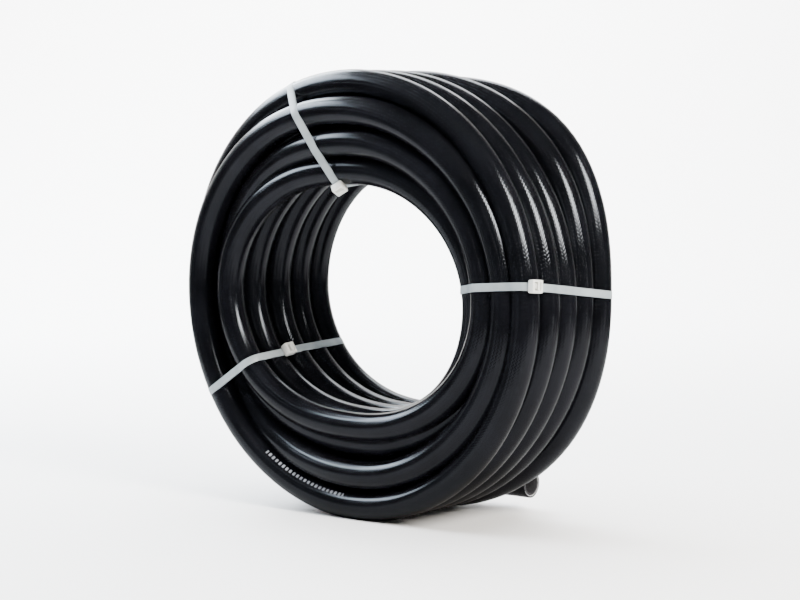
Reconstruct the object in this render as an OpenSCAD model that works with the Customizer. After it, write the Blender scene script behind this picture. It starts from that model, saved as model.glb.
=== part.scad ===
// Reinforced garden hose, wound into an upright coil and held by three cable ties.
// Frame: the coil stands on its rim at z = 0, its axis runs along Y and its front
// face looks toward -Y. The hose's outer end runs just above the floor toward +X.

/* [Hose] */
// Outside diameter of the hose
hose_d = 18; // [12:0.5:30]
// Bore of the liner
hose_bore_d = 12.5; // [8:0.5:20]
// Wall of the inner liner
liner_wall = 1.15; // [0.5:0.05:2]
// Thickness of the braided yarn layer
braid_wall = 0.5; // [0.2:0.05:0.6]
// Straight length of the outer end
end_len = 76; // [20:1:200]

/* [Coil] */
// Clear radius of the eye in the middle of the coil
eye_r = 76; // [50:1:200]
// Turns side by side in each layer
turns_wide = 5; // [2:1:9]
// Layers, one outside the other
layers = 4; // [1:1:7]
// Distance between neighbouring turns, as a share of the hose's diameter
turn_lay = 0.99; // [0.9:0.01:1]
// Distance between neighbouring layers, as a share of the hose's diameter
layer_lay = 0.87; // [0.8:0.01:0.97]
// How far the lowest turns are pressed flat by the coil's own weight
floor_sag = 1; // [0.5:0.1:3]
// Angle round the coil over which the last turn lies behind the others
last_turn_arc = 90; // [70:5:90]
// Gap between the straight end and the turn beside it
last_turn_gap = 0.8; // [0.7:0.05:2]
// How far the straight end is held off the floor by the curl of the last turn
end_rise = 8; // [0:0.5:10]

/* [Cable ties] */
// Width of the strap
strap_w = 4.8; // [3.6:0.1:9]
// Thickness of the strap
strap_t = 1.3; // [1:0.1:2]
// Gap between a strap and the hose it goes round
strap_gap = 0.3; // [0.2:0.05:0.6]
// Angle of the upper left tie round the coil, from +X
upper_left_angle = 118; // [95:1:140]
// Angle of the right tie
right_angle = 2; // [-15:1:30]
// Angle of the lower left tie
lower_left_angle = 209; // [190:1:235]

/* [Tie heads] */
// Width of a head, across the strap
head_w = 8; // [6:0.1:12]
// Length of a head, along the strap
head_l = 8.6; // [6:0.1:12]
// Height of a head above the strap's inner face
head_h = 6; // [5:0.1:9]
// Room round the strap's end in the slot
slot_gap = 0.25; // [0.15:0.05:0.5]
// Length of strap left standing out of the slot after trimming
trim_len = 0.8; // [0.3:0.1:3]
// Distance of the upper left head's middle from the front corner of the eye
upper_left_head = 4; // [2:0.5:30]
// Distance of the right head's middle from the front corner of the rim
right_head = 6; // [2:0.5:30]
// Distance of the lower left head's middle from the front corner of the eye
lower_left_head = 38; // [2:0.5:50]

/* [Hidden] */
$fn = 96;

hose_r = hose_d / 2;
bore_r = hose_bore_d / 2;
liner_r = bore_r + liner_wall;
braid_r = liner_r + braid_wall;

turn_pitch = hose_d * turn_lay;
layer_pitch = hose_d * layer_lay;
r_first = eye_r + hose_r;
r_last = r_first + (layers - 1) * layer_pitch;
rim_r = r_last + hose_r;
half_y = (turns_wide - 1) / 2 * turn_pitch;
last_y = half_y + hose_d + last_turn_gap;
lay_angle = atan(turn_pitch / (2 * PI * r_last));

coil_z = rim_r - floor_sag;
loop = strap_gap + strap_t;

// the part's own box, so that the origin is the middle of its footprint
x_low = -rim_r;
x_high = rim_r + strap_gap + head_h;
y_low = -half_y - hose_r - loop;
y_high = last_y + hose_r;
mid_x = (x_low + x_high) / 2;
mid_y = (y_low + y_high) / 2;

black = [0.03, 0.03, 0.035];
nylon = [0.87, 0.88, 0.87];

// moves the coil's own axes (axis at x = y = 0) to the part's origin
module placed() {
    translate([-mid_x, -mid_y, 0]) children();
}

// turns x to the radius at an angle round the coil, y along the coil's axis
module at_angle(a, z = coil_z) {
    translate([0, 0, z]) rotate([0, -a, 0]) children();
}

// the plane of the last turn, turned by the winding's lay
module leaving() {
    translate([-end_rise, last_y, 0]) rotate([0, 0, lay_angle]) children();
}

// radius of the last turn at an angle round the coil, and how far back it is
function last_turn(a) =
    let (r = -end_rise * cos(a) + floor_sag * sin(a)
             + sqrt(pow(r_last - end_rise, 2) - pow(end_rise * sin(a) + floor_sag * cos(a), 2)))
    [r, last_y + (r * cos(a) + end_rise) * tan(lay_angle)];

// the wound section: every turn of every layer, and the core between them
module wound_section() {
    for (k = [0 : layers - 1], t = [0 : turns_wide - 1])
        translate([r_first + k * layer_pitch, (t - (turns_wide - 1) / 2) * turn_pitch])
            circle(r = hose_r);
    translate([r_first, -half_y]) square([r_last - r_first, 2 * half_y]);
}

module hose_coil() {
    color(black) placed() {
        intersection() {
            translate([0, 0, coil_z]) rotate([90, 0, 0]) rotate_extrude()
                mirror([0, 1]) wound_section();
            translate([-2 * rim_r, -2 * rim_r, 0]) cube([4 * rim_r, 4 * rim_r, 4 * rim_r]);
        }
        // the last turn comes down behind the others and meets the straight end
        difference() {
            leaving() translate([0, 0, rim_r]) rotate([90, 0, 0])
                rotate([0, 0, 270 - last_turn_arc]) rotate_extrude(angle = last_turn_arc + 2)
                    translate([r_last - end_rise, 0]) circle(r = hose_r);
            translate([-end_rise, 0, -rim_r]) cube(2 * rim_r);
        }
    }
}

// one layer of the straight end, from the last turn to the cut face
module end_layer(r_in, r_out) {
    placed() translate([-end_rise, last_y, hose_r + end_rise]) rotate([0, 90, 0]) difference() {
        cylinder(r = r_out, h = end_len);
        translate([0, 0, -1]) cylinder(r = r_in, h = end_len + 2);
    }
}

module end_cover() {
    color(black) end_layer(braid_r, hose_r);
}

module end_braid() {
    color([0.5, 0.5, 0.5]) end_layer(liner_r, braid_r);
}

module end_liner() {
    color([0.08, 0.08, 0.08]) end_layer(bore_r, liner_r);
}

// outline round the section at a distance from the hose, taking in the turn at back
module round_section(d, back) {
    hull() {
        for (c = [[r_first, -half_y], [r_last, -half_y], [r_last, half_y], back,
                  [r_first, half_y]])
            translate(c) circle(r = hose_r + d, $fn = 48);
    }
}

// head with its slot, pawl and the trimmed end of the strap standing in the slot;
// the strap's inner face is at x = 0 and the head stands toward +x
module tie_head() {
    slot_t = strap_t + 2 * slot_gap;
    difference() {
        translate([0, -head_l / 2, -head_w / 2]) cube([head_h, head_l, head_w]);
        translate([strap_t, -slot_t / 2, -strap_w / 2 - slot_gap])
            cube([head_h, slot_t, strap_w + 2 * slot_gap]);
        // chamfers along the top edges
        for (s = [-1, 1])
            translate([head_h, s * head_l / 2, 0]) rotate([0, 0, 45])
                cube([1.4, 1.4, head_w + 2], center = true);
    }
    // strap end
    translate([0, -strap_t / 2, -strap_w / 2]) cube([head_h + trim_len, strap_t, strap_w]);
    // pawl, leaning from the slot's wall on to the strap
    linear_extrude(height = strap_w - 1, center = true)
        polygon([[head_h * 0.45, slot_t / 2 + 0.3], [head_h * 0.8, slot_t / 2 + 0.3],
                 [head_h * 0.72, strap_t / 2 - 0.1], [head_h * 0.6, strap_t / 2 - 0.1]]);
}

// strap loop round the section, extruded across its width
module tie_loop(back) {
    linear_extrude(height = strap_w, center = true) difference() {
        round_section(loop, back);
        round_section(strap_gap, back);
    }
}

module tie_upper_left() {
    color(nylon) placed() at_angle(upper_left_angle) {
        tie_loop([r_last, half_y]);
        translate([eye_r - strap_gap, -half_y + upper_left_head, 0])
            rotate([0, 0, 180]) tie_head();
    }
}

module tie_right() {
    color(nylon) placed() at_angle(right_angle) {
        tie_loop([r_last, half_y]);
        translate([rim_r + strap_gap, -half_y + right_head, 0]) tie_head();
    }
}

module tie_lower_left() {
    color(nylon) placed() at_angle(lower_left_angle) {
        tie_loop(last_turn(lower_left_angle));
        translate([eye_r - strap_gap, -half_y + lower_left_head, 0])
            rotate([0, 0, 180]) tie_head();
    }
}

hose_coil();
end_cover();
end_braid();
end_liner();
tie_upper_left();
tie_right();
tie_lower_left();
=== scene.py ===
import math

import bmesh
import bpy
import numpy as np
from mathutils import Matrix, Vector


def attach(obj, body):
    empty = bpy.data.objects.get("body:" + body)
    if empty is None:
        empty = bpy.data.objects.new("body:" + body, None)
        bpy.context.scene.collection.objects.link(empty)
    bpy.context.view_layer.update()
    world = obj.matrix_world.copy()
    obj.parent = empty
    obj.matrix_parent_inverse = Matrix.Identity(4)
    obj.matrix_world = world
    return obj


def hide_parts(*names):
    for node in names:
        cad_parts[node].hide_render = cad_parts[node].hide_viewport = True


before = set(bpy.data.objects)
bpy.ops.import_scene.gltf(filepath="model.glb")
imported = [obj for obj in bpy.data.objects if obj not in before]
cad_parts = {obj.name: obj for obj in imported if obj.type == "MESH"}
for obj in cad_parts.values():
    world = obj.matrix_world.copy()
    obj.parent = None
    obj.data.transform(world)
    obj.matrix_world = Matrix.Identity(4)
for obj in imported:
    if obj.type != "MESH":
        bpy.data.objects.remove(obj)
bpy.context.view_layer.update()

scene = bpy.context.scene

# --- Camera -----------------------------------------------------------------
# A long lens a little above the coil's middle, well to the right of its front face.
coil_middle = Vector((-0.00315, -0.0086, 0.140))
eye_azimuth, eye_height, eye_distance = math.radians(38), math.radians(4.5), 1.40
toward_eye = Vector((math.sin(eye_azimuth) * math.cos(eye_height),
                     -math.cos(eye_azimuth) * math.cos(eye_height), math.sin(eye_height)))
lens = bpy.data.cameras.new("camera")
lens.sensor_width = 36
lens.lens = 99.036
lens.shift_x, lens.shift_y = 0.0055, -0.0110
camera = bpy.data.objects.new("camera", lens)
camera.location = coil_middle + Vector((0, 0, 0.001)) + toward_eye * eye_distance
camera.rotation_mode = "QUATERNION"
camera.rotation_quaternion = toward_eye.to_track_quat("Z", "Y")
scene.collection.objects.link(camera)
scene.camera = camera

# --- Hose -------------------------------------------------------------------
# One length of 1/2 inch reinforced hose: a PVC liner, a braid of polyester yarn and a glossy
# black PVC cover. It was wound on a reel from the inside out, four layers of five turns, and
# slipped off as a coil whose outer end sticks out behind, just off the floor.
hose_d, hose_bore = 0.018, 0.0125
columns = [-35.64, -17.82, 0, 17.82, 35.64]   # the turns' places along the coil's axis, mm
last_column, end_x, end_height = 54.44, 0.06485, 0.017
axis_drop = 0.00002   # the turns' own middle is this much below the coil's


def winding():
    """Where the hose passes: angle round the coil, radius and place along its axis in mm."""
    c0, c1, c2, c3, c4 = columns
    quarters = [
        # the inner layer comes forward, a column at a time, on the right
        # top           left          bottom        right
        ((84, c4), (96.7, c4), (82, c4), (84, 26.7)),
        ((84, c3), (98.1, c3), (81.5, c3), (84, 8.9)),
        ((84, c2), (99.6, c2), (81, c2), (84, -8.9)),
        ((83, c1), (105, c1), (81, c1), (83.3, -27)),
        ((78.5, -37), (106.9, -38), (81.7, -38), (97.6, -38)),
        # the second goes back, on the right
        ((96, -44), (119.5, -25), (93, -28), (98.5, -19)),
        ((99, c1), (121, -8), (97.5, -11), (99, -1)),
        ((99, c2), (116, 9), (97.5, 7), (99, 17)),
        ((99, c3), (114, 26), (98, 25), (99, 34)),
        ((99, c4), (113, 43), (99, 41), (107, 42)),
        # the third comes forward, on the left, and climbs to the outside at the front
        ((115, c4), (129, 33), (113, c3), (113, c3)),
        ((115, c3), (130, 16), (112.5, c2), (113, c2)),
        ((115, c2), (132, -1), (112.5, c1), (113, c1)),
        ((115, c1), (132, -18), (112, -38), (111.9, -38)),
        ((115.7, -46), (134, -36), (132, -36), (125, -36)),
        # the outer goes back, on the left
        ((132, c0), (144, -21), (132, c1), (127, c1)),
        ((132, c1), (145, -4), (132, c2), (127.3, c2)),
        ((132, c2), (144, 14), (132, c3), (127.5, c3)),
        ((132, c3), (142, 32), (132, c4), (129, c4)),
    ]
    marks = [(0, 84, c4)] + [(90 * (k + 1), *place) for k, place in enumerate(sum(quarters, ()))]
    # the inner turns bulge at the upper left, the last one at the lower and the upper right
    marks += [(135, 94.5, c4), (495, 95.5, c3), (855, 96.5, c2), (1215, 98.5, c1)]
    done = len(quarters) * 360
    marks += [(done - 315, 135, c3), (done - 45, 133.5, c4), (done + 45, 139.5, 36.4),
              (done + 90, 129, 37), (done + 180, 133, 50), (done + 270, 122.98, last_column)]
    return sorted(marks)


def smooth_through(marks, at):
    """Values that pass through the marks without running past them, at other angles."""
    angle, value = np.array(marks, dtype=float).T
    step = np.diff(angle)
    rise = np.diff(value) / step
    slope = np.zeros(len(value))
    same_way = rise[:-1] * rise[1:] > 0
    slope[1:-1][same_way] = 2 / (1 / rise[:-1][same_way] + 1 / rise[1:][same_way])
    i = np.clip(np.searchsorted(angle, at) - 1, 0, len(step) - 1)
    h = step[i]
    t = (at - angle[i]) / h
    return ((2 * t**3 - 3 * t**2 + 1) * value[i] + (t**3 - 2 * t**2 + t) * h * slope[i]
            + (3 * t**2 - 2 * t**3) * value[i + 1] + (t**3 - t**2) * h * slope[i + 1])


marks = winding()
inner_end, fine_step = 16, 3.0   # degrees
angles = np.arange(inner_end, marks[-1][0] + 0.1, fine_step)
angles[-1] = marks[-1][0]
radius = smooth_through([(a, r) for a, r, y in marks], angles) / 1000
along = smooth_through([(a, y) for a, r, y in marks], angles) / 1000
turn = np.radians(angles)
route = np.stack([coil_middle.x + radius * np.cos(turn), coil_middle.y + along,
                  coil_middle.z - axis_drop + radius * np.sin(turn)], axis=1)
outward = np.stack([np.cos(turn), np.zeros(len(turn)), np.sin(turn)], axis=1)
# the outer end runs straight to its cut
straight_steps = 19
straight = np.linspace(route[-1, 0], end_x, straight_steps + 1)[1:]
route = np.vstack([route, np.stack([straight, np.full(straight_steps, route[-1, 1]),
                                    np.full(straight_steps, end_height)], axis=1)])
outward = np.vstack([outward, np.tile([0, 0, -1.0], (straight_steps, 1))])
forward = np.gradient(route, axis=0)
forward /= np.linalg.norm(forward, axis=1)[:, None]
outward -= forward * np.sum(outward * forward, axis=1)[:, None]
outward /= np.linalg.norm(outward, axis=1)[:, None]
sideways = np.cross(forward, outward)
travelled = np.concatenate([[0], np.cumsum(np.linalg.norm(np.diff(route, axis=0), axis=1))])

# the cover, swept along the route, with the lowest turns pressed flat on the floor
sides = 28
rings, spokes = len(route), np.arange(sides) * 2 * math.pi / sides
skin = (route[:, None] + hose_d / 2 * (np.cos(spokes)[None, :, None] * outward[:, None]
                                       + np.sin(spokes)[None, :, None] * sideways[:, None]))
skin[..., 2] = np.maximum(skin[..., 2], 0)
number = np.arange(rings * sides).reshape(rings, sides)
beside = np.roll(number, -1, axis=1)
faces = np.stack([number[:-1], beside[:-1], beside[1:], number[1:]], axis=-1).reshape(-1, 4)
hose_mesh = bpy.data.meshes.new("hose")
hose_mesh.from_pydata(skin.reshape(-1, 3).tolist(), [], faces.tolist())
# the braid follows the hose: metres along it, and the share of the way round it
lay = hose_mesh.uv_layers.new(name="lay")
ring_of, side_of = np.divmod(np.arange(len(faces)), sides)
ahead, next_ahead = travelled[ring_of], travelled[ring_of + 1]
u = np.stack([ahead, ahead, next_ahead, next_ahead], axis=1)
v = np.stack([side_of, side_of + 1, side_of + 1, side_of], axis=1) / sides
lay.data.foreach_set("uv", np.stack([u, v], axis=-1).ravel())

# both ends are cut square, and show the cover, the yarn, the liner and the bore
COVER, YARN, LINER = range(3)
knife_drag, square_depth = 0.0002, 0.001   # the cover's edge is a little rounded by the knife
bm = bmesh.new()
bm.from_mesh(hose_mesh)
cut_face = [  # how far back from the cut, radius and layer
    (0.0, 0.00885, COVER), (0.0, 0.0079, COVER), (0.0003, 0.00785, YARN), (0.0003, 0.00745, YARN),
    (0.0, 0.0074, LINER), (0.0, 0.0064, LINER), (0.0002, hose_bore / 2, LINER),
    (0.012, hose_bore / 2, LINER), (0.030, hose_bore / 2, LINER), (0.052, hose_bore / 2, LINER)]
for ring, step in ((0, 1), (rings - 1, -1)):
    bm.verts.ensure_lookup_table()
    rim = [bm.verts[i] for i in number[ring]]
    inward = Vector(forward[ring]) * step
    for vert in rim:
        vert.co += inward * knife_drag
    loop = [e for vert in rim for e in vert.link_edges if e.is_boundary and e.verts[0] == vert]
    centre_now = Vector(route[ring])
    for back, r, layer in cut_face:
        made = bmesh.ops.extrude_edge_only(bm, edges=loop)["geom"]
        loop = [g for g in made if isinstance(g, bmesh.types.BMEdge) and g.is_boundary]
        for face in (g for g in made if isinstance(g, bmesh.types.BMFace)):
            face.material_index = layer
        # past the square cut, the bore follows the hose's own bend
        nearest = int(np.argmin(np.abs(travelled - (travelled[ring] + back * step))))
        centre = Vector(route[nearest])
        if back < square_depth:
            centre = Vector(route[ring]) + inward * back
        bore_way = Vector(forward[nearest])
        for vert in {vert for e in loop for vert in e.verts}:
            spoke = vert.co - centre_now
            spoke -= bore_way * spoke.dot(bore_way)
            vert.co = centre + spoke.normalized() * r
        centre_now = centre
    for face in bmesh.ops.contextual_create(bm, geom=loop)["faces"]:
        face.material_index = LINER
bmesh.ops.recalc_face_normals(bm, faces=bm.faces)
bm.to_mesh(hose_mesh)
bm.free()
hose_mesh.shade_smooth()
hose_mesh.set_sharp_from_angle(angle=math.radians(50))
hose = bpy.data.objects.new("hose", hose_mesh)
scene.collection.objects.link(hose)


def effect(name, inputs, outputs):
    """A shader node group with named inputs, each with its kind and value, and outputs."""
    group = bpy.data.node_groups.new(name, "ShaderNodeTree")
    for socket, kind, value in inputs:
        group.interface.new_socket(socket, in_out="INPUT",
                                   socket_type="NodeSocket" + kind).default_value = value
    for socket, kind in outputs:
        group.interface.new_socket(socket, in_out="OUTPUT", socket_type="NodeSocket" + kind)
    return (group, group.nodes.new("NodeGroupInput").outputs,
            group.nodes.new("NodeGroupOutput").inputs)


def maths(tree, operation, *values):
    """One Math node, with its inputs set or linked."""
    node = tree.nodes.new("ShaderNodeMath")
    node.operation = operation
    for socket, value in zip(node.inputs, values):
        if isinstance(value, bpy.types.NodeSocket):
            tree.links.new(value, socket)
        else:
            socket.default_value = value
    return node.outputs[0]


def lay_of_hose(tree):
    """The metres along the hose, and the share of the way round it."""
    place, split = tree.nodes.new("ShaderNodeUVMap"), tree.nodes.new("ShaderNodeSeparateXYZ")
    place.uv_map = "lay"
    tree.links.new(place.outputs["UV"], split.inputs[0])
    return split.outputs["X"], split.outputs["Y"]


# the braid's crossing yarns, which show through a thin cover as a fine woven grain
braid, given, result = effect("braid under the cover", [("Yarns", "Float", 28.0),
                              ("Crossings per metre", "Float", 440.0)], [("Height", "Float")])
metres, share = lay_of_hose(braid)
lengthwise = maths(braid, "MULTIPLY", metres, given["Crossings per metre"])
roundwise = maths(braid, "MULTIPLY", share, given["Yarns"])
yarns = []
for twist in ("ADD", "SUBTRACT"):
    yarn = maths(braid, twist, lengthwise, roundwise)
    ridge = maths(braid, "ABSOLUTE", maths(braid, "SINE", maths(braid, "MULTIPLY", yarn, math.pi)))
    every_other = maths(braid, "PINGPONG", maths(braid, "FLOOR", yarn), 1.0)
    yarns.append((ridge, every_other))
(right_hand, over), (left_hand, under) = yarns
on_top = maths(braid, "ABSOLUTE", maths(braid, "SUBTRACT", over, under))
right_hand = maths(braid, "MULTIPLY", right_hand, maths(braid, "MULTIPLY_ADD", on_top, 0.5, 0.5))
left_hand = maths(braid, "MULTIPLY", left_hand, maths(braid, "MULTIPLY_ADD", on_top, -0.5, 1.0))
braid.links.new(maths(braid, "MAXIMUM", right_hand, left_hand), result["Height"])

# the cover: nearly black, glossy, with the woven grain and the extruder's slight unevenness
cover = bpy.data.materials.new("glossy black cover")
cover.use_nodes = True
tree = cover.node_tree
n, link = tree.nodes, tree.links
shader = n["Principled BSDF"]
shader.inputs["IOR"].default_value = 1.40
shader.inputs["Specular Tint"].default_value = (0.80, 0.88, 1.0, 1)
weave, where = n.new("ShaderNodeGroup"), n.new("ShaderNodeTexCoord")
weave.node_tree = braid
haze, ripple = n.new("ShaderNodeTexNoise"), n.new("ShaderNodeTexNoise")
for noise, scale, detail in ((haze, 38, 5), (ripple, 140, 2)):
    noise.inputs["Scale"].default_value, noise.inputs["Detail"].default_value = scale, detail
    link.new(where.outputs["Object"], noise.inputs["Vector"])
tint = n.new("ShaderNodeValToRGB")
for stop, position, colour in zip(tint.color_ramp.elements, (0.35, 0.75), (
        (0.0012, 0.0013, 0.0018, 1), (0.003, 0.0032, 0.0045, 1))):
    stop.position, stop.color = position, colour
link.new(haze.outputs["Fac"], tint.inputs["Fac"])
gloss = n.new("ShaderNodeMapRange")
gloss.inputs["From Min"].default_value, gloss.inputs["From Max"].default_value = 0.3, 0.7
gloss.inputs["To Min"].default_value, gloss.inputs["To Max"].default_value = 0.09, 0.15
link.new(haze.outputs["Fac"], gloss.inputs["Value"])
link.new(gloss.outputs["Result"], shader.inputs["Roughness"])
woven, uneven = n.new("ShaderNodeBump"), n.new("ShaderNodeBump")
woven.inputs["Distance"].default_value = 0.00006
uneven.inputs["Distance"].default_value = 0.00007
link.new(weave.outputs["Height"], woven.inputs["Height"])
link.new(ripple.outputs["Fac"], uneven.inputs["Height"])
link.new(woven.outputs["Normal"], uneven.inputs["Normal"])
link.new(uneven.outputs["Normal"], shader.inputs["Normal"])
# the printed line, kept to plain worn dashes, on the outermost turn at the lower left
outer_turn = 14 * 360
begins, ends = (float(np.interp(outer_turn + a, angles, travelled[:len(angles)]))
                for a in (235, 266))   # degrees round the turn
line_at, line_half = 0.615, 0.02   # shares of the way round the hose
dash_pitch, dash_share = 0.0034, 0.55
metres, share = lay_of_hose(tree)
within = maths(tree, "LESS_THAN", maths(tree, "ABSOLUTE", maths(
    tree, "SUBTRACT", metres, (begins + ends) / 2)), (ends - begins) / 2)
line = maths(tree, "LESS_THAN", maths(tree, "ABSOLUTE", maths(
    tree, "SUBTRACT", share, line_at)), line_half)
dashes = maths(tree, "LESS_THAN", maths(tree, "FRACT", maths(
    tree, "MULTIPLY", metres, 1 / dash_pitch)), dash_share)
ink = maths(tree, "MULTIPLY", maths(tree, "MULTIPLY", within, line), dashes)
worn = maths(tree, "MULTIPLY", ink, maths(tree, "MULTIPLY_ADD", ripple.outputs["Fac"], 1.2, 0.1))
inked = n.new("ShaderNodeMix")
inked.data_type = "RGBA"
link.new(worn, inked.inputs["Factor"])
link.new(tint.outputs["Color"], inked.inputs["A"])
inked.inputs["B"].default_value = (0.34, 0.36, 0.39, 1)
link.new(inked.outputs["Result"], shader.inputs["Base Color"])
hose_mesh.materials.append(cover)

# a mottled grain, for a cut layer's torn face and for nylon's flow marks
mottle, given, result = effect("mottled grain", [
    ("Scale", "Float", 90.0), ("Detail", "Float", 2.0), ("Dark", "Color", (0.2, 0.2, 0.2, 1)),
    ("Light", "Color", (0.8, 0.8, 0.8, 1))], [("Color", "Color"), ("Height", "Float")])
where, noise = mottle.nodes.new("ShaderNodeTexCoord"), mottle.nodes.new("ShaderNodeTexNoise")
spread, mix = mottle.nodes.new("ShaderNodeMapRange"), mottle.nodes.new("ShaderNodeMix")
spread.inputs["From Min"].default_value, spread.inputs["From Max"].default_value = 0.3, 0.7
mix.data_type = "RGBA"
for source, target in (
        (where.outputs["Object"], noise.inputs["Vector"]), (given["Scale"], noise.inputs["Scale"]),
        (given["Detail"], noise.inputs["Detail"]), (noise.outputs["Fac"], spread.inputs["Value"]),
        (spread.outputs["Result"], mix.inputs["Factor"]), (given["Dark"], mix.inputs["A"]),
        (given["Light"], mix.inputs["B"]), (mix.outputs["Result"], result["Color"]),
        (noise.outputs["Fac"], result["Height"])):
    mottle.links.new(source, target)


def mottled(name, dark, light, roughness, tone, relief, depth):
    """A material mottled in colour and in relief, each at its own scale and detail."""
    material = bpy.data.materials.new(name)
    material.use_nodes = True
    n, link = material.node_tree.nodes, material.node_tree.links
    shader, bump = n["Principled BSDF"], n.new("ShaderNodeBump")
    patches, grain = n.new("ShaderNodeGroup"), n.new("ShaderNodeGroup")
    for node, (scale, detail) in ((patches, tone), (grain, relief)):
        node.node_tree = mottle
        node.inputs["Scale"].default_value, node.inputs["Detail"].default_value = scale, detail
    patches.inputs["Dark"].default_value, patches.inputs["Light"].default_value = dark, light
    bump.inputs["Distance"].default_value = depth
    shader.inputs["Roughness"].default_value = roughness
    link.new(patches.outputs["Color"], shader.inputs["Base Color"])
    link.new(grain.outputs["Height"], bump.inputs["Height"])
    link.new(bump.outputs["Normal"], shader.inputs["Normal"])
    return material


# the knife tears the cut layers finely, so they look lighter than a moulded skin
for name, dark, light, roughness, tear in (
        ("cut polyester yarn", (0.35, 0.35, 0.36, 1), (0.7, 0.7, 0.7, 1), 0.8, (2500, 4)),
        ("dark grey liner", (0.012, 0.012, 0.014, 1), (0.03, 0.03, 0.033, 1), 0.4, (900, 4))):
    hose_mesh.materials.append(mottled(name, dark, light, roughness, tear, tear, 0.0001))

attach(hose, "root")
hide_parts("hose_coil", "end_cover", "end_braid", "end_liner")

# --- Cable ties ---------------------------------------------------------------
# Three natural nylon ties, 4.8 mm wide. Each strap goes once round the coil's section, through
# the slot of its moulded head, where a pawl holds it, and is trimmed off close to the head.
strap_width, strap_thickness, strap_clearance = 0.0048, 0.0013, 0.0001
strap_rounding, corner_bend = 0.00025, 1.2   # a strap's edges turn more than this, in radians
bundle_reach = 0.075   # a tie takes in only the turns that pass this near its middle
steps_round_turn, bend_step = 40, 0.002
head_length, head_width, head_height, head_rounding = 0.0074, 0.0078, 0.0054, 0.0008
slot_margin, slot_narrowing, slot_depth, pawl_height = 0.0009, (0.42, 0.92, 1), 0.0024, 0.0040
# nylon is milky and slightly translucent, with faint flow marks from moulding
flow_marks, moulded_skin, skin_relief = (90, 3), (700, 2), 0.00004
nylon = []
for name, dark, light, scatter in (
        # over the black hose the thin strap is painted darker and bluer than the solid head:
        # painted shade, standing in for the black hose seen through the thin nylon
        ("thin nylon with painted shade", (0.20, 0.235, 0.25, 1), (0.29, 0.325, 0.34, 1), 0.1),
        ("thick natural nylon", (0.56, 0.57, 0.53, 1), (0.68, 0.68, 0.64, 1), 0.25)):
    material = mottled(name, dark, light, 0.38, flow_marks, moulded_skin, skin_relief)
    shader = material.node_tree.nodes["Principled BSDF"]
    shader.inputs["Subsurface Weight"].default_value = scatter
    shader.inputs["Subsurface Radius"].default_value = (1, 1, 1)
    shader.inputs["Subsurface Scale"].default_value = 0.0015
    nylon.append(material)


def strap_line(middle, inward, normal):
    """The tight line round the hose's turns, where a tie's plane cuts them on its own side."""
    height = (route - np.array(middle)) @ np.array(normal)
    points = []
    for edge in (-strap_width / 2, 0, strap_width / 2):
        for i in np.nonzero((height[:-1] - edge) * (height[1:] - edge) < 0)[0]:
            share = (height[i] - edge) / (height[i] - height[i + 1])
            centre = Vector(route[i] + share * (route[i + 1] - route[i])) - normal * edge
            if (centre - middle).length > bundle_reach:
                continue
            tangent = Vector(forward[i])
            short = tangent.cross(normal).normalized()
            long = normal.cross(short) / abs(tangent.dot(normal))
            for k in range(steps_round_turn):
                a = k * 2 * math.pi / steps_round_turn
                p = centre + (hose_d / 2 + strap_clearance) * (math.cos(a) * short
                                                               + math.sin(a) * long)
                if p.z > 0.0:
                    points.append(p - middle)
    across = normal.cross(inward)
    flat = sorted((p.dot(inward), p.dot(across)) for p in points)

    def half(side):
        line = []
        for p in side:
            while len(line) > 1 and ((line[-1][0] - line[-2][0]) * (p[1] - line[-2][1])
                                     - (line[-1][1] - line[-2][1]) * (p[0] - line[-2][0])) <= 0:
                line.pop()
            line.append(p)
        return line[:-1]

    hull = [Vector(p) for p in half(flat) + half(flat[::-1])]
    # even steps, so that the long straight runs bend no more than the corners
    line = []
    for a, b in zip(hull, hull[1:] + hull[:1]):
        pieces = max(1, round((b - a).length / bend_step))
        line += [a.lerp(b, k / pieces) for k in range(pieces)]
    return [middle + inward * p.x + across * p.y for p in line]


def rounded_block(bm, size, centre, rounding):
    """A block with rounded edges, as its vertices."""
    made = bmesh.ops.create_cube(bm, size=1)["verts"]
    bmesh.ops.scale(bm, vec=size, verts=made)
    bmesh.ops.translate(bm, vec=centre, verts=made)
    edges = [e for vert in made for e in vert.link_edges if e.verts[0] == vert]
    rounded = bmesh.ops.bevel(bm, geom=edges, offset=rounding, segments=3, affect="EDGES",
                              profile=0.5, material=-1)
    return {vert for f in rounded["faces"] for vert in f.verts}


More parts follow.
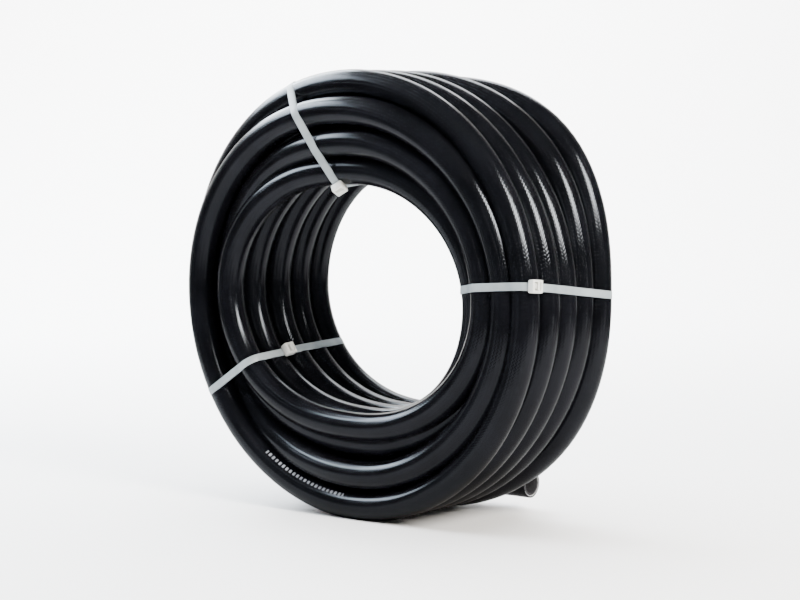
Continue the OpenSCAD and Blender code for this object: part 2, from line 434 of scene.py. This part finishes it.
def cable_tie(name, corners, head_at):
    """A tie in the plane of three places, with its head at the nearest spot to a fourth."""
    rim, eye, back = (coil_middle + Vector(c) / 1000 for c in corners)
    inward = (eye - rim).normalized()
    normal = inward.cross(back - eye).normalized()
    middle = (rim + eye) / 2 + (back - eye) / 2
    line = strap_line(middle, -inward, normal)
    bm = bmesh.new()
    near_edge = [bm.verts.new(p - normal * strap_width / 2) for p in line]
    edges = [bm.edges.new(pair) for pair in zip(near_edge, near_edge[1:] + near_edge[:1])]
    wide = bmesh.ops.extrude_edge_only(bm, edges=edges)["geom"]
    bmesh.ops.translate(bm, verts=[g for g in wide if isinstance(g, bmesh.types.BMVert)],
                        vec=normal * strap_width)
    bmesh.ops.recalc_face_normals(bm, faces=bm.faces)
    first = bm.faces[:][0]
    if (first.calc_center_median() - middle).dot(first.normal) < 0:
        bmesh.ops.reverse_faces(bm, faces=bm.faces)
    bmesh.ops.solidify(bm, geom=bm.faces[:], thickness=strap_thickness)
    bmesh.ops.recalc_face_normals(bm, faces=bm.faces)
    long_edges = [e for e in bm.edges
                  if len(e.link_faces) == 2 and e.calc_face_angle() > corner_bend]
    bmesh.ops.bevel(bm, geom=long_edges, offset=strap_rounding, segments=2, affect="EDGES",
                    profile=0.5, material=-1)

    # the head is made at zero, then moved to the strap: a block with a sunk slot in its top
    head = rounded_block(bm, (head_length, head_width, head_height), (0, 0, head_height / 2),
                         head_rounding)
    top = max((f for vert in head for f in vert.link_faces
               if f.calc_center_median().z > head_height - 0.00001), key=lambda f: f.calc_area())
    bmesh.ops.inset_individual(bm, faces=[top], thickness=slot_margin, depth=0)
    for slot in bmesh.ops.extrude_discrete_faces(bm, faces=[top])["faces"]:
        bmesh.ops.scale(bm, vec=slot_narrowing, verts=slot.verts,
                        space=Matrix.Translation(-slot.calc_center_median()))
        bmesh.ops.translate(bm, vec=(0, 0, -slot_depth), verts=slot.verts)
        head |= set(slot.verts)
    head |= {vert for f in bm.faces if any(w in head for w in f.verts) for vert in f.verts}
    # in the slot, the trimmed end of the strap and the pawl that holds it
    head |= rounded_block(bm, (strap_thickness, strap_width, 0.0044),
                          (-0.0001, 0, pawl_height), 0.0002)
    head |= rounded_block(bm, (0.0011, 0.0034, 0.0020), (0.0012, 0, pawl_height), 0.0003)
    for face in {f for vert in head for f in vert.link_faces}:
        face.material_index = 1
    spot = coil_middle + Vector(head_at) / 1000
    i = min(range(len(line)), key=lambda k: (line[k] - spot).length)
    run = (line[(i + 3) % len(line)] - line[i - 3]).normalized()
    up = run.cross(normal)
    if up.dot(line[i] - middle) < 0:
        up = -up
    to_strap = Matrix((run, normal, up)).transposed().to_4x4()
    to_strap.translation = line[i]
    bmesh.ops.transform(bm, matrix=to_strap, verts=[vert for vert in bm.verts if vert in head])
    bmesh.ops.recalc_face_normals(bm, faces=bm.faces)
    mesh = bpy.data.meshes.new(name)
    bm.to_mesh(mesh)
    bm.free()
    mesh.shade_smooth()
    mesh.set_sharp_from_angle(angle=math.radians(40))
    for material in nylon:
        mesh.materials.append(material)
    tie = bpy.data.objects.new(name, mesh)
    scene.collection.objects.link(tie)
    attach(tie, "root")
    return tie


# from the coil's middle, mm: the front of the rim, the front and back of the eye, and the head
for name, corners, head_at in (
        ("tie_upper_left", ((-51.6, -45, 130.2), (-9.4, -45, 66.6), (-43, 44, 68.8)),
         (-8, -44, 67)),
        ("tie_right", ((138, -43, 13.3), (76, -43, 8.5), (76, 44, -2.6)), (139, -42, 13.5)),
        ("tie_lower_left", ((-123, -41, -69.9), (-84.9, -46, -45.8), (-79.3, 44, -40.6)),
         (-79, -15, -43))):
    tie = cable_tie(name + "_strap", corners, head_at)
    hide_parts(name)

# --- Floor and studio light -------------------------------------------------
# The coil stands on a sheet of white paper, on a pale studio floor with a paper backdrop. The
# paper looks darker in the hose's reflections than to the eye, and the wide floor isn't in them.
white = bpy.data.materials.new("white paper")
white.use_nodes = True
n, link = white.node_tree.nodes, white.node_tree.links
n["Principled BSDF"].inputs["Roughness"].default_value = 0.7
ray, seen = n.new("ShaderNodeLightPath"), n.new("ShaderNodeMix")
seen.data_type = "RGBA"
seen.inputs["A"].default_value = (0.95, 0.95, 0.95, 1)
seen.inputs["B"].default_value = (0.22, 0.215, 0.21, 1)
link.new(ray.outputs["Is Glossy Ray"], seen.inputs["Factor"])
link.new(seen.outputs["Result"], n["Principled BSDF"].inputs["Base Color"])


def paper(name, half_width, near, far, height, bend_radius=0, bend_steps=24, wall=2.2):
    """A sheet that runs away from the eye, and may bend up into a wall at its far end."""
    mesh = bpy.data.meshes.new(name)
    bm = bmesh.new()
    strip = [bm.edges.new([bm.verts.new((-half_width, -near, height)),
                           bm.verts.new((half_width, -near, height))])]
    steps = [(0, far + near, 0)]
    if bend_radius:
        bend = [math.radians(90 * k / bend_steps) for k in range(bend_steps + 1)]
        steps += [(0, bend_radius * (math.sin(b) - math.sin(a)),
                   bend_radius * (math.cos(a) - math.cos(b))) for a, b in zip(bend, bend[1:])]
        steps.append((0, 0, wall))
    for step in steps:
        made = bmesh.ops.extrude_edge_only(bm, edges=strip)["geom"]
        ends = {g for g in made if isinstance(g, bmesh.types.BMVert)}
        strip = [g for g in made if isinstance(g, bmesh.types.BMEdge) and set(g.verts) <= ends]
        bmesh.ops.translate(bm, verts=list(ends), vec=step)
    bmesh.ops.rotate(bm, verts=bm.verts, cent=(0, 0, 0),
                     matrix=Matrix.Rotation(eye_azimuth, 3, "Z"))
    bmesh.ops.recalc_face_normals(bm, faces=bm.faces)
    bm.to_mesh(mesh)
    bm.free()
    mesh.shade_smooth()
    mesh.materials.append(white)
    sheet = bpy.data.objects.new(name, mesh)
    scene.collection.objects.link(sheet)
    return sheet


paper("table paper", half_width=0.6, near=0.42, far=0.42, height=0)
paper("studio floor", half_width=14, near=14, far=0.9, height=-0.0005).visible_glossy = False
paper("backdrop", half_width=6, near=-0.9, far=1.2, height=-0.0005, bend_radius=1.2)

# each lamp's way and distance from the coil, and whether the hose mirrors it
for name, toward, distance, size, power, colour, mirrored in (
        ("right softbox", (0.75, -0.16, 0.45), 1.5, (0.52, 0.60), 58, (1, 0.94, 0.86), True),
        ("left softbox", (-0.80, 0.0, 0.59), 1.6, (1.9, 0.7), 95, (0.84, 0.92, 1), True),
        ("back softbox", (-0.38, 0.66, 0.62), 1.6, (0.7, 0.45), 6, (0.88, 0.94, 1), True),
        # these two only brighten the paper
        ("overhead softbox", (-0.1, 0.2, 1.0), 4.5, (6, 6), 720, (1, 1, 1), False),
        ("backdrop light", (-1.2, 1.0, 1.5), 2.1, (2.6, 1.2), 190, (1, 1, 1), False)):
    light = bpy.data.lights.new(name, "AREA")
    light.shape = "RECTANGLE"
    light.size, light.size_y = size
    light.energy, light.color = power, colour
    lamp = bpy.data.objects.new(name, light)
    toward = Vector(toward).normalized()
    lamp.location = coil_middle + toward * distance
    lamp.rotation_mode = "QUATERNION"
    lamp.rotation_quaternion = toward.to_track_quat("Z", "Y")
    lamp.visible_glossy = mirrored
    scene.collection.objects.link(lamp)
# the last one is turned to shine on the backdrop
lamp.rotation_quaternion = Vector((0.45, -0.55, 0.75)).to_track_quat("Z", "Y")
world = bpy.data.worlds.new("studio")
world.use_nodes = True
scene.world = world
world.node_tree.nodes["Background"].inputs["Color"].default_value = (0.95, 0.98, 1, 1)
world.node_tree.nodes["Background"].inputs["Strength"].default_value = 0.1
